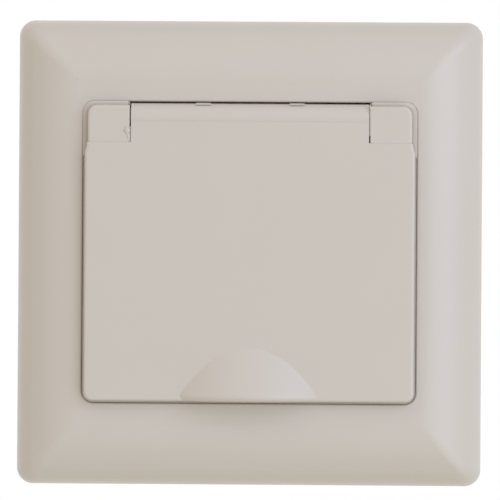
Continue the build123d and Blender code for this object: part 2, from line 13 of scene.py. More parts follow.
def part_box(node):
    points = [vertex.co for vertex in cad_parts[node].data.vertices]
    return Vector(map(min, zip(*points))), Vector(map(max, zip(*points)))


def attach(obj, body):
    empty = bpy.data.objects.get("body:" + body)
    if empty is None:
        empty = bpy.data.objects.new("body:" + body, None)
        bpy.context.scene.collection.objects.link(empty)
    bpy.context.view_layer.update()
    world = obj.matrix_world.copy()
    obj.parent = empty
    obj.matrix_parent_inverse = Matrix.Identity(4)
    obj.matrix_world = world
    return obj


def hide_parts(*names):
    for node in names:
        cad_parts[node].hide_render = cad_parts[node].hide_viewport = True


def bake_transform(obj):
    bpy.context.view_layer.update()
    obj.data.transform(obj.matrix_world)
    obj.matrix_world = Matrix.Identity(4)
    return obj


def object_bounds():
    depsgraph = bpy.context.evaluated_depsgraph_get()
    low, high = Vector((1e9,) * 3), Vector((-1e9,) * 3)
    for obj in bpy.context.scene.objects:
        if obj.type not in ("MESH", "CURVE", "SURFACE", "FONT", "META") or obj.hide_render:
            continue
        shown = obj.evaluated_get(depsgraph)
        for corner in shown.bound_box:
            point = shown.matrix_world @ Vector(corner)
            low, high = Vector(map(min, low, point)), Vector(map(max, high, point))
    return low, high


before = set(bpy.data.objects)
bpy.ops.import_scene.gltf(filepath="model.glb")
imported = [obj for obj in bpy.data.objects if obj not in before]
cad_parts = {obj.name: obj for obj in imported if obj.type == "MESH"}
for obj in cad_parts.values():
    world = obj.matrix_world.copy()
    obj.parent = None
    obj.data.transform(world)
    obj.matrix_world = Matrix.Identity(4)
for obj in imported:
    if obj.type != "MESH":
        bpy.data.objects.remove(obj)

bl_info = {
    "name": "Wall socket with a lid",
    "version": (1, 0, 0),
    "blender": (4, 5, 0),
    "location": "View3D > Sidebar > Socket",
    "description": "Dresses the packed wall socket and sets a studio stage",
    "category": "Object",
}

MM = 0.001
CAD_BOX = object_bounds()

# Width of the camera's sensor, in millimetres as Blender's lenses are
SENSOR_WIDTH = 36

# Points nearer to each other than this are merged, and edges that bend more than this stay sharp
MERGED = 0.001 * MM
SHARP = radians(32)

# How finely the new surfaces are divided
RIM_POINTS = 41
CHORD_POINTS = 5
STEPS_PER_PITCH = 6
COIL_POINTS = 180
WIRE_SIDES = 14
BEAD_POINTS = 49
BEAD_SIDES = 16
SEAM_POINTS = 25
FLOOR_RINGS = 9
FLOOR_SIDES = 64

# Sockets of a Mix node that blends colours: its factor, its two colours and its result
FACTOR, FIRST, SECOND, RESULT = 0, 6, 7, 2

POLES = ("live", "earth", "neutral")
SIDES = ("left", "right")
COVERS = ("cover_frame", "socket_insert", "lid", "contact_cover")
SHEETS = ("support_ring", *(f"claw_{side}" for side in SIDES))
STRIPS = ("earth_bracket", "contact_live", "contact_neutral")
CLAMPS = tuple(f"terminal_clamp_{pole}" for pole in POLES)

# A screw's own axes, in the socket's: along its slot, across the slot, and from its face to its tip
TERMINAL_AXES = ((1, 0, 0), (0, 1, 0), (0, 0, 1))
CLAW_AXES = ((0, 0, 1), (1, 0, 0), (0, 1, 0))
CENTRE_AXES = ((1, 0, 0), (0, 0, -1), (0, 1, 0))


def linear(code):
    """Linear colour of an sRGB hex code."""
    parts = np.array([int(code[i : i + 2], 16) for i in (1, 3, 5)]) / 255
    return tuple(np.where(parts <= 0.04045, parts / 12.92, ((parts + 0.055) / 1.055) ** 2.4))


def length(name, description, millimetres):
    """A length property whose default is given in millimetres."""
    return FloatProperty(
        name=name, description=description, default=millimetres * MM, unit="LENGTH", precision=5
    )


def angle(name, description, degrees):
    """An angle property whose default is given in degrees."""
    return FloatProperty(name=name, description=description, default=radians(degrees), subtype="ANGLE")


def plain(name, description, value):
    """A property that is a plain number: a share, a count or a strength."""
    return FloatProperty(name=name, description=description, default=value, min=0)


def power(name, description, watts):
    """A light's power property."""
    return FloatProperty(name=name, description=description, default=watts, min=0, unit="POWER")


def colour(name, description, code):
    """A colour property whose default is given as an sRGB hex code."""
    return FloatVectorProperty(
        name=name, description=description, default=linear(code), size=3, subtype="COLOR", min=0, max=1
    )


class SocketScrewSizes(bpy.types.PropertyGroup):
    """Sizes of the screws that their CAD boxes don't give."""

    terminal_shank: length("Terminal shank", "Thread radius of a terminal screw", 1.75)
    terminal_head: length("Terminal head", "Height of a terminal screw's head", 1.7)
    terminal_slot: length("Terminal slot", "Slot depth of a terminal screw", 0.85)
    terminal_pitch: length("Terminal pitch", "Thread pitch of a terminal screw", 0.6)
    claw_shank: length("Claw shank", "Thread radius of a claw screw", 1.5)
    claw_head: length("Claw head", "Height of a claw screw's head", 2.0)
    claw_slot: length("Claw slot", "Slot depth of a claw screw", 1.0)
    claw_pitch: length("Claw pitch", "Thread pitch of a claw screw", 0.5)
    centre_shank: length("Centre shank", "Thread radius of the centre screw", 1.6)
    centre_slot: length("Centre slot", "Slot depth of the centre screw", 0.8)
    centre_pitch: length("Centre pitch", "Thread pitch of the centre screw", 0.7)
    slot_width: length("Slot width", "Width of the driver slots", 0.8)
    head_edge: length("Head edge", "Chamfer round a screw's head", 0.18)
    thread_depth: plain("Thread depth", "Depth of a thread over its pitch", 0.55)
    tip: length("Tip", "Length of the taper at a screw's end", 0.6)
    tip_radius: plain("Tip radius", "Radius of a screw's end over its shank's", 0.72)


class SocketSpringSizes(bpy.types.PropertyGroup):
    """Sizes of the lid's spring, as in the CAD model."""

    wire: length("Wire", "Diameter of the spring's wire", 0.4)
    coil: length("Coil", "Radius of the coil at the wire's middle", 1.15)
    pitch: length("Pitch", "Distance of the coil's turns", 0.5)
    turns: plain("Turns", "Turns of the coil at rest", 4.5)
    trough_leg: length("Trough leg", "Length of the leg in the insert's trough", 2.276)
    lid_leg: length("Lid leg", "Length of the leg behind the lid", 3.4)


class SocketFlashSizes(bpy.types.PropertyGroup):
    """Sizes of the moulding flash at the ears; places are taken from the socket's middle."""

    tab_side: length("Tab side", "Place of the sides of the lid's tab", 20.8)
    ear_side: length("Ear side", "Place of the inner sides of the ears", 21.05)
    tab_room: length("Tab room", "Room between the flash and the tab", 0.04)
    burr_top: length("Burr top", "Upper end of the burr on the left ear", 21.95)
    burr_end: length("Burr end", "Lower end of the burr", 19.5)
    burr_inset: length("Burr inset", "From the ear's side to the burr's lower end", 0.1)
    burr_lean: length("Burr lean", "How much further in the burr's upper end lies", 0.42)
    burr_width: length("Burr width", "Half width of the burr where it is thickest", 0.66)
    burr_height: length("Burr height", "How far the burr stands out of the ear", 0.42)
    burr_thick_at: plain("Burr thick at", "Share of its length at which the burr is thickest", 0.25)
    burr_spread: plain("Burr spread", "Share of its length over which the burr thins out", 0.17)
    burr_thin: plain("Burr thin", "Width of the burr's thin ridge over its widest", 0.36)
    web_depth: length("Web depth", "How far the flash in a slit lies below the ear's face", 0.04)
    web_thickness: length("Web thickness", "Half thickness of the flash in a slit", 0.3)
    web_ends: plain("Web ends", "How much blunter than an ellipse the flash in a slit ends", 3)
    left_web_top: length("Left web top", "Upper end of the flash in the left slit", 22.0)
    left_web_end: length("Left web end", "Lower end of the flash in the left slit", 19.2)
    right_web_top: length("Right web top", "Upper end of the flash in the right slit", 26.0)
    right_web_end: length("Right web end", "Lower end of the flash in the right slit", 20.4)
    seam_width: length("Seam width", "Half width of the lip beside an ear", 0.9)
    seam_height: length("Seam height", "How far the lip beside an ear stands out of the plate", 0.2)
    seam_top_width: length("Seam top width", "Half width of the lip over an ear", 0.75)
    seam_top_height: length("Seam top height", "Half thickness of the lip over an ear", 0.5)
    seam_inset: length("Seam inset", "How far the lip over an ear lies in from the seam", 0.3)
    seam_sink: length("Seam sink", "How far the middle of the lip over an ear lies in the plate", 0.12)
    seam_corner: length("Seam corner", "Radius of the seam's corner", 1.95)
    seam_end: length("Seam end", "Lower end of the seam's lip", 16.3)
    plate_drop: length("Plate drop", "From an ear's face to the plate round it", 2.6)
    foot_level: length("Foot level", "Height of the lower edge of an ear's face", 19.287)
    foot_end: length("Foot end", "Outer end of an ear's lower edge", 28.1)
    foot_depth: length("Foot depth", "How far the flash under an ear lies below its face", 0.07)
    foot_width: length("Foot width", "Half width of the flash under an ear", 0.074)
    foot_height: length("Foot height", "Half thickness of the flash under an ear", 0.06)
    foot_ends: plain("Foot ends", "How much blunter than an ellipse the flash under an ear ends", 5)


class SocketColours(bpy.types.PropertyGroup):
    """Colours of the finishes."""

    cream: colour("Cream", "Covers in moulded ABS", "#C6BEB6")
    cream_shade: colour("Cream shade", "Cloudy patches of the covers", "#C4BBB2")
    base: colour("Base", "Moulded polyamide base", "#E4E4E2")
    base_shade: colour("Base shade", "Glass fibre streaks of the base", "#D6D5D0")
    zinc: colour("Zinc", "Zinc plating", "#C4C8CB")
    zinc_shade: colour("Zinc shade", "Passivated patches of the plating", "#AFAEA4")
    steel: colour("Steel", "Bright drawn steel", "#B4B4B6")
    steel_shade: colour("Steel shade", "Drawing marks of the steel", "#98989C")
    bronze: colour("Bronze", "Rolled tin bronze", "#C9A06C")
    bronze_shade: colour("Bronze shade", "Tarnish of the bronze", "#A4794B")
    brass: colour("Brass", "Drawn brass", "#D9B768")
    brass_shade: colour("Brass shade", "Tarnish of the brass", "#B8924A")
    floor: colour("Floor", "Pale floor", "#EDEDEB")


class SocketStageSizes(bpy.types.PropertyGroup):
    """Places and powers of the camera, lights and floor."""

    camera_distance: length("Camera distance", "From the wall plane to the camera", 800)
    camera_side: angle("Camera side", "Turn of the view to the right", 0.7)
    camera_rise: angle("Camera rise", "Turn of the view upwards", -0.4)
    camera_roll: angle("Camera roll", "Roll of the picture", 0.38)
    picture_width: length("Picture width", "Width of the picture at the wall plane", 88.6)
    aim_rise: length("Aim rise", "Height of the picture's centre over the frame's", 0.55)
    floor_drop: length("Floor drop", "From the frame's lower edge to the floor", 110)
    floor_radius: length("Floor radius", "Radius of the floor", 220)
    floor_fade: plain("Floor fade", "Share of its radius at which the floor starts to fade", 0.55)
    light_distance: length("Light distance", "From the socket to the soft boxes", 700)
    key_side: angle("Key side", "Turn of the key light to the right", 40)
    key_rise: angle("Key rise", "Height of the key light", 18)
    key_size: length("Key size", "Side of the key light", 560)
    key_power: power("Key power", "Soft box on the right", 2.08)
    key_tint: colour("Key tint", "Colour of the key light", "#BED3FF")
    low_side: angle("Low side", "Turn of the low light to the right", 40)
    low_rise: angle("Low rise", "Height of the low light, which shines in past the floor's rim", -25)
    low_size: length("Low size", "Side of the low light", 560)
    low_power: power("Low power", "Soft box on the lower right", 0.89)
    low_tint: colour("Low tint", "Colour of the low light", "#F7FFFC")
    fill_side: angle("Fill side", "Turn of the fill light to the right", -30)
    fill_rise: angle("Fill rise", "Height of the fill light", 55)
    fill_size: length("Fill size", "Side of the fill light", 900)
    fill_power: power("Fill power", "Soft box on the upper left", 0.86)
    fill_tint: colour("Fill tint", "Colour of the fill light", "#FFF7F2")
    surround: plain("Surround", "Strength of the light all round", 0.73)
    surround_tint: colour("Surround tint", "Colour of the light all round", "#FFFBEF")


def add_node(tree, kind, inputs=None, **settings):
    """Adds a node: settings are its properties, and an input is a value or the socket to link."""
    node = tree.nodes.new(kind)
    for name, value in settings.items():
        setattr(node, name, value)
    for name, value in (inputs or {}).items():
        if isinstance(value, bpy.types.NodeSocket):
            tree.links.new(value, node.inputs[name])
        else:
            node.inputs[name].default_value = value
    return node


def new_material(name, **constants):
    """A material with a bare Principled shader, given with its tree, the shader and Object coordinates."""
    material = bpy.data.materials.new(name)
    material.use_nodes = True
    tree = material.node_tree
    shader = tree.nodes["Principled BSDF"]
    for socket, value in constants.items():
        shader.inputs[socket].default_value = value
    place = add_node(tree, "ShaderNodeTexCoord").outputs["Object"]
    return material, tree, shader, place


def per_size(millimetres):
    """Texture scale at which one cell of a pattern is this long on the object."""
    return 1 / (millimetres * MM)


def finish_surface(tree, shader, tint, roughness, height, relief):
    """Links a colour blend, a roughness range and a bump of this relief in millimetres to the shader.

    tint is (factor, first colour, second colour), roughness is (factor, lowest, highest).
    """
    factor, first, second = tint
    blend = add_node(
        tree,
        "ShaderNodeMix",
        {FACTOR: factor, FIRST: (*first, 1), SECOND: (*second, 1)},
        data_type="RGBA",
    )
    factor, lowest, highest = roughness
    gloss = add_node(tree, "ShaderNodeMapRange", {"Value": factor, "To Min": lowest, "To Max": highest})
    bump = add_node(tree, "ShaderNodeBump", {"Height": height, "Distance": relief * MM})
    tree.links.new(blend.outputs[RESULT], shader.inputs["Base Color"])
    tree.links.new(gloss.outputs["Result"], shader.inputs["Roughness"])
    tree.links.new(bump.outputs["Normal"], shader.inputs["Normal"])


def moulded_abs():
    """Cream ABS from a polished mould: even, slightly cloudy, with a soft gloss and faint orange peel."""
    colours = bpy.context.scene.socket_colours
    material, tree, shader, place = new_material("moulded_abs", IOR=1.52)
    cloud = add_node(tree, "ShaderNodeTexNoise", {"Vector": place, "Scale": per_size(14), "Detail": 3.0})
    peel = add_node(tree, "ShaderNodeTexNoise", {"Vector": place, "Scale": per_size(1.1), "Detail": 2.0})
    finish_surface(
        tree,
        shader,
        tint=(cloud.outputs["Fac"], colours.cream, colours.cream_shade),
        roughness=(cloud.outputs["Fac"], 0.3, 0.38),
        height=peel.outputs["Fac"],
        relief=0.003,
    )
    return material


def moulded_polyamide():
    """Glass-filled polyamide from an eroded mould: pale and matt, with short fibre streaks front to back."""
    colours = bpy.context.scene.socket_colours
    material, tree, shader, place = new_material("moulded_polyamide", IOR=1.53)
    # Real fibres and erosion pits are too fine to show, so both are drawn coarser
    flow = add_node(tree, "ShaderNodeMapping", {"Vector": place, "Scale": (1, 0.15, 1)}).outputs["Vector"]
    fibre = add_node(tree, "ShaderNodeTexNoise", {"Vector": flow, "Scale": per_size(0.9), "Detail": 4.0})
    spark = add_node(tree, "ShaderNodeTexNoise", {"Vector": place, "Scale": per_size(0.35), "Detail": 2.0})
    finish_surface(
        tree,
        shader,
        tint=(fibre.outputs["Fac"], colours.base, colours.base_shade),
        roughness=(fibre.outputs["Fac"], 0.48, 0.62),
        height=spark.outputs["Fac"],
        relief=0.03,
    )
    return material


def zinc_plated_sheet():
    """Rolled and zinc-plated steel sheet: grey, with a fine rolling grain and duller passivated patches."""
    colours = bpy.context.scene.socket_colours
    material, tree, shader, place = new_material("zinc_plated_sheet", Metallic=1.0)
    # The real grain is too fine to show, so it is drawn coarser
    rolled = add_node(tree, "ShaderNodeMapping", {"Vector": place, "Scale": (0.06, 1, 1)}).outputs["Vector"]
    grain = add_node(tree, "ShaderNodeTexNoise", {"Vector": rolled, "Scale": per_size(0.4), "Detail": 3.0})
    patch = add_node(tree, "ShaderNodeTexNoise", {"Vector": place, "Scale": per_size(7), "Detail": 5.0})
    finish_surface(
        tree,
        shader,
        tint=(patch.outputs["Fac"], colours.zinc, colours.zinc_shade),
        roughness=(patch.outputs["Fac"], 0.26, 0.46),
        height=grain.outputs["Fac"],
        relief=0.008,
    )
    return material


def zinc_plated_screw():
    """Cold-headed, rolled and zinc-plated steel: brighter than the sheet, with small plating blooms."""
    colours = bpy.context.scene.socket_colours
    material, tree, shader, place = new_material("zinc_plated_screw", Metallic=1.0)
    bloom = add_node(tree, "ShaderNodeTexNoise", {"Vector": place, "Scale": per_size(1.6), "Detail": 4.0})
    scuff = add_node(tree, "ShaderNodeTexNoise", {"Vector": place, "Scale": per_size(0.3), "Detail": 3.0})
    finish_surface(
        tree,
        shader,
        tint=(bloom.outputs["Fac"], colours.zinc, colours.zinc_shade),
        roughness=(bloom.outputs["Fac"], 0.2, 0.36),
        height=scuff.outputs["Fac"],
        relief=0.006,
    )
    return material


def drawn_steel_wire():
    """Bright drawn steel wire: a dark mirror with drawing marks along it."""
    colours = bpy.context.scene.socket_colours
    material, tree, shader, place = new_material("drawn_steel_wire", Metallic=1.0)
    # Real drawing marks are too fine to show, so they are drawn coarser
    drawn = add_node(tree, "ShaderNodeMapping", {"Vector": place, "Scale": (0.05, 1, 1)}).outputs["Vector"]
    mark = add_node(tree, "ShaderNodeTexNoise", {"Vector": drawn, "Scale": per_size(0.2), "Detail": 3.0})
    finish_surface(
        tree,
        shader,
        tint=(mark.outputs["Fac"], colours.steel, colours.steel_shade),
        roughness=(mark.outputs["Fac"], 0.18, 0.32),
        height=mark.outputs["Fac"],
        relief=0.004,
    )
    return material


def tin_bronze_strip():
    """Rolled and stamped tin bronze: a warm spring metal with a rolling grain and browner tarnish."""
    colours = bpy.context.scene.socket_colours
    material, tree, shader, place = new_material("tin_bronze_strip", Metallic=1.0)
    # The real grain is too fine to show, so it is drawn coarser
    rolled = add_node(
        tree, "ShaderNodeMapping", {"Vector": place, "Scale": (1, 0.06, 0.06)}
    ).outputs["Vector"]
    grain = add_node(tree, "ShaderNodeTexNoise", {"Vector": rolled, "Scale": per_size(0.35), "Detail": 3.0})
    tarnish = add_node(tree, "ShaderNodeTexNoise", {"Vector": place, "Scale": per_size(3.5), "Detail": 4.0})
    finish_surface(
        tree,
        shader,
        tint=(tarnish.outputs["Fac"], colours.bronze, colours.bronze_shade),
        roughness=(tarnish.outputs["Fac"], 0.22, 0.4),
        height=grain.outputs["Fac"],
        relief=0.006,
    )
    return material


def drawn_brass():
    """Drawn and sawn brass section: yellow, with drawing lines front to back and dull finger tarnish."""
    colours = bpy.context.scene.socket_colours
    material, tree, shader, place = new_material("drawn_brass", Metallic=1.0)
    # Real drawing lines are too fine to show, so they are drawn coarser
    drawn = add_node(tree, "ShaderNodeMapping", {"Vector": place, "Scale": (1, 0.05, 1)}).outputs["Vector"]
    line = add_node(tree, "ShaderNodeTexNoise", {"Vector": drawn, "Scale": per_size(0.3), "Detail": 3.0})
    tarnish = add_node(tree, "ShaderNodeTexNoise", {"Vector": place, "Scale": per_size(2.8), "Detail": 4.0})
    finish_surface(
        tree,
        shader,
        tint=(tarnish.outputs["Fac"], colours.brass, colours.brass_shade),
        roughness=(tarnish.outputs["Fac"], 0.22, 0.38),
        height=line.outputs["Fac"],
        relief=0.006,
    )
    return material


def dress(material, *nodes):
    """Gives the CAD nodes this material."""
    for name in nodes:
        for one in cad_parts[name].material_slots:
            one.material = material


def finish_of(node):
    """The material that a CAD node was given."""
    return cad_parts[node].material_slots[0].material


def span_of(node):
    """Lowest corner, highest corner and middle of a CAD node's box."""
    low, high = (np.array(corner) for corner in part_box(node))
    return low, high, (low + high) / 2


def even_turn(count):
    """This many even angles, once round."""
    return np.linspace(0, 2 * np.pi, count + 1)[:-1]


def grid_faces(rows, columns, first=0, closed=False):
    """Quads of a grid of points, numbered by rows from first; closed joins its last column to its first."""
    index = first + np.arange(rows * columns).reshape(rows, columns)
    after = np.roll(index, -1, axis=1)
    quads = np.stack([index[:-1], after[:-1], after[1:], index[1:]], axis=-1)
    kept = quads if closed else quads[:, :-1]
    return kept.reshape(-1, 4)


def merged_mesh(name, points, faces, turned_out):
    """A mesh of these points and faces with its doubles merged, and with its faces turned out if asked."""
    mesh = bpy.data.meshes.new(name)
    mesh.from_pydata(points.reshape(-1, 3).tolist(), [], faces.tolist())
    work = bmesh.new()
    work.from_mesh(mesh)
    bmesh.ops.remove_doubles(work, verts=work.verts, dist=MERGED)
    if turned_out:
        bmesh.ops.recalc_face_normals(work, faces=work.faces)
    work.to_mesh(mesh)
    work.free()
    return mesh


def add_piece(name, grids, material):
    """Makes one closed piece from grids of points, each given with whether its columns close."""
    faces = []
    first = 0
    for points, closed in grids:
        rows, columns = points.shape[:2]
        faces.append(grid_faces(rows, columns, first, closed))
        first += rows * columns
    points = np.concatenate([points.reshape(-1, 3) for points, closed in grids])
    mesh = merged_mesh(name, points, np.concatenate(faces), turned_out=True)
    mesh.shade_smooth()
    mesh.set_sharp_from_angle(angle=SHARP)
    mesh.materials.append(material)
    piece = bpy.data.objects.new(name, mesh)
    bpy.context.scene.collection.objects.link(piece)
    return piece


def slotted_face(outer, floor, slot_width, slot_depth):
    """Rows across a screw's face, from one side to the other: place across the slot, level and radius.

    Outside the slot the place is -outer times the cosine of an even angle, so the rim's points are
    evenly spaced, and each edge of the slot has a point on the face and one on the slot's floor.
    """
    even = -outer * np.cos(np.linspace(0, np.pi, RIM_POINTS))
    edge = slot_width / 2
    left = even[even < -edge]
    across = np.concatenate([left, [-edge, -edge, 0, edge, edge], -left[::-1]])
    inside = np.concatenate([left * 0, [0, 1, 1, 1, 0], left * 0])
    return across, inside * slot_depth, np.where(inside, floor, outer)


def screw_grids(sizes, head, floor, slot_depth, shank, pitch, end):
    """Grids of a slotted screw in its own axes: along the slot, across it, and from the face to the tip.

    head lists (radius, level) down the head, from the face's rim to the shank, and floor is its radius
    at the slot's floor. The face is the chords of a disc. The sides carry its rim down the head and then
    along the thread, whose radius falls from the shank's by a triangle wave of level / pitch - turn, a
    right-hand helix.
    """
    across, level, reach = slotted_face(head[0][0], floor, sizes.slot_width, slot_depth)
    half = np.sqrt(np.maximum(reach**2 - across**2, 0))
    chord = np.linspace(-1, 1, CHORD_POINTS)
    face = np.stack(np.broadcast_arrays(half[:, None] * chord, across[:, None], level[:, None]), axis=-1)
    rim_level = np.concatenate([level, level[::-1]])
    turn = np.arctan2(np.concatenate([across, across[::-1]]), np.concatenate([half, -half[::-1]]))
    head_radius, head_level = (np.array(values)[:, None] for values in zip(*head))
    head_radius = np.where(head_level < rim_level, floor, head_radius)
    head_level = np.maximum(head_level, rim_level)
    under = head[-1][1]
    straight = end - sizes.tip
    along = np.linspace(under, straight, int(STEPS_PER_PITCH * (straight - under) / pitch))[:, None]
    wave = np.abs(2 * ((along / pitch - turn / (2 * np.pi)) % 1) - 1)
    thread_radius = shank - sizes.thread_depth * pitch * wave
    tip_radius = np.array([sizes.tip_radius * shank, 0])[:, None] + 0 * turn
    radius = np.concatenate([head_radius, thread_radius, tip_radius])
    depth = np.concatenate([head_level, along + 0 * turn, end + 0 * tip_radius])
    sides = np.stack([radius * np.cos(turn), radius * np.sin(turn), depth], axis=-1)
    return (face, False), (sides, True)


def placed(grids, origin, axes):
    """Grids moved from their own axes to these, from this origin."""
    return [(points @ np.array(axes) + origin, closed) for points, closed in grids]


class SOCKET_OT_covers(bpy.types.Operator):
    """Finish the frame, insert, lid and well floor in moulded ABS"""

    bl_idname = "socket.covers"
    bl_label = "Covers"

    def execute(self, context):
        dress(moulded_abs(), *COVERS)
        return {"FINISHED"}


class SOCKET_OT_base(bpy.types.Operator):
    """Finish the base in moulded polyamide"""

    bl_idname = "socket.base"
    bl_label = "Base"

    def execute(self, context):
        dress(moulded_polyamide(), "base")
        return {"FINISHED"}


class SOCKET_OT_metalwork(bpy.types.Operator):
    """Finish the ring, claws, contacts, clamps and hinge rod in their metals"""

    bl_idname = "socket.metalwork"
    bl_label = "Metalwork"

    def execute(self, context):
        dress(zinc_plated_sheet(), *SHEETS)
        dress(tin_bronze_strip(), *STRIPS)
        dress(drawn_brass(), *CLAMPS)
        dress(drawn_steel_wire(), "hinge_rod")
        return {"FINISHED"}


class SOCKET_OT_screws(bpy.types.Operator):
    """Replace the plain screws by slotted and threaded ones"""

    bl_idname = "socket.screws"
    bl_label = "Screws"

    def execute(self, context):
        sizes = context.scene.socket_screws
        steel = zinc_plated_screw()
        dress(steel, "ring_rivets")
        for pole in POLES:
            self.cheese_screw(sizes, steel, f"terminal_screw_{pole}", "terminal", TERMINAL_AXES)
        for side in SIDES:
            self.cheese_screw(sizes, steel, f"claw_screw_{side}", "claw", CLAW_AXES)
        self.countersunk_screw(sizes, steel, "centre_screw", "centre", CENTRE_AXES)
        return {"FINISHED"}

    def cheese_screw(self, sizes, steel, node, kind, axes):
        """Screw on a body of its own, whose head is a short cylinder with a chamfered rim."""
        low, _, middle = span_of(node)
        radius = middle[0] - low[0]
        edge = sizes.head_edge
        height = getattr(sizes, f"{kind}_head")
        shank = getattr(sizes, f"{kind}_shank")
        head = [(radius - edge, 0), (radius, edge), (radius, height), (shank, height)]
        self.add_screw(sizes, steel, node, node, kind, axes, head, radius)

    def countersunk_screw(self, sizes, steel, node, kind, axes):
        """Screw in the housing, whose head is a cone that falls to the shank at 45 degrees."""
        _, high, middle = span_of(node)
        radius = high[2] - middle[2]
        shank = getattr(sizes, f"{kind}_shank")
        head = [(radius, 0), (shank, radius - shank)]
        floor = radius - getattr(sizes, f"{kind}_slot")
        self.add_screw(sizes, steel, node, "housing", kind, axes, head, floor)

    def add_screw(self, sizes, steel, node, body, kind, axes, head, floor):
        """Makes the screw in its node's place, with its face at the low end of its axis."""
        low, high, middle = span_of(node)
        axis = np.array(axes[2])
        slot_depth, shank, pitch = (getattr(sizes, f"{kind}_{part}") for part in ("slot", "shank", "pitch"))
        grids = screw_grids(sizes, head, floor, slot_depth, shank, pitch, (high - low) @ axis)
        origin = np.where(axis, low, middle)
        piece = add_piece(f"threaded_{node}", placed(grids, origin, axes), steel)
        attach(piece, body)
        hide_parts(node)


class SOCKET_OT_spring(bpy.types.Operator):
    """Replace the lid's rigid spring by a coiled one"""

    bl_idname = "socket.spring"
    bl_label = "Spring"

    def execute(self, context):
        sizes = context.scene.socket_spring
        axis = span_of("hinge_rod")[2]
        end = np.array((sizes.pitch * sizes.turns / 2, 0, 0))
        grid = axis - end + self.wire(sizes)
        piece = add_piece("wound_lid_spring", [(grid, True)], finish_of("hinge_rod"))
        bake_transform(piece)
        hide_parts("lid_spring")
        return {"FINISHED"}

    def wire(self, sizes):
        """Wire along a helix about the X axis, from behind the axis, with a straight leg at each end.

        The helix turns from Y to Z. Its outward direction, and the tangent crossed with that direction,
        span the wire's round section. The legs go on along the tangents at the helix's ends, and the end
        sections close to a point.
        """
        lead = sizes.pitch / (2 * np.pi)
        last = 2 * np.pi * sizes.turns
        turn = np.concatenate([[0, 0], np.linspace(0, last, COIL_POINTS), [last, last]])[:, None]
        beyond = np.zeros_like(turn)
        beyond[:2] = -sizes.trough_leg
        beyond[-2:] = sizes.lid_leg
        thick = np.full((len(turn), 1, 1), sizes.wire / 2)
        thick[[0, -1]] = 0
        out = np.concatenate([0 * turn, np.cos(turn), np.sin(turn)], axis=1)
        sideways = np.concatenate([0 * turn, -np.sin(turn), np.cos(turn)], axis=1)
        along = np.array((lead, 0, 0)) + sizes.coil * sideways
        along = along / np.linalg.norm(along, axis=1, keepdims=True)
        route = np.array((lead, 0, 0)) * turn + sizes.coil * out + beyond * along
        around_wire = even_turn(WIRE_SIDES)[:, None]
        section = np.cos(around_wire) * out[:, None] + np.sin(around_wire) * np.cross(along, out)[:, None]
        return route[:, None] + thick * section


def bead(route, width, height):
    """Bead along a route on a face that looks towards -Y: an ellipse across the route at each point.

    The ellipse has this half width and half height, and half of it lies under the face. The bead ends
    where its width is nought.
    """
    along = np.gradient(route, axis=0)
    side = np.cross(along, (0, 1, 0))
    side = side / np.linalg.norm(side, axis=1, keepdims=True)
    around_bead = even_turn(BEAD_SIDES)[None, :, None]
    across = np.cos(around_bead) * width[:, None, None] * side[:, None]
    out = np.sin(around_bead) * height[:, None, None] * np.array((0, -1, 0))
    return route[:, None] + across + out


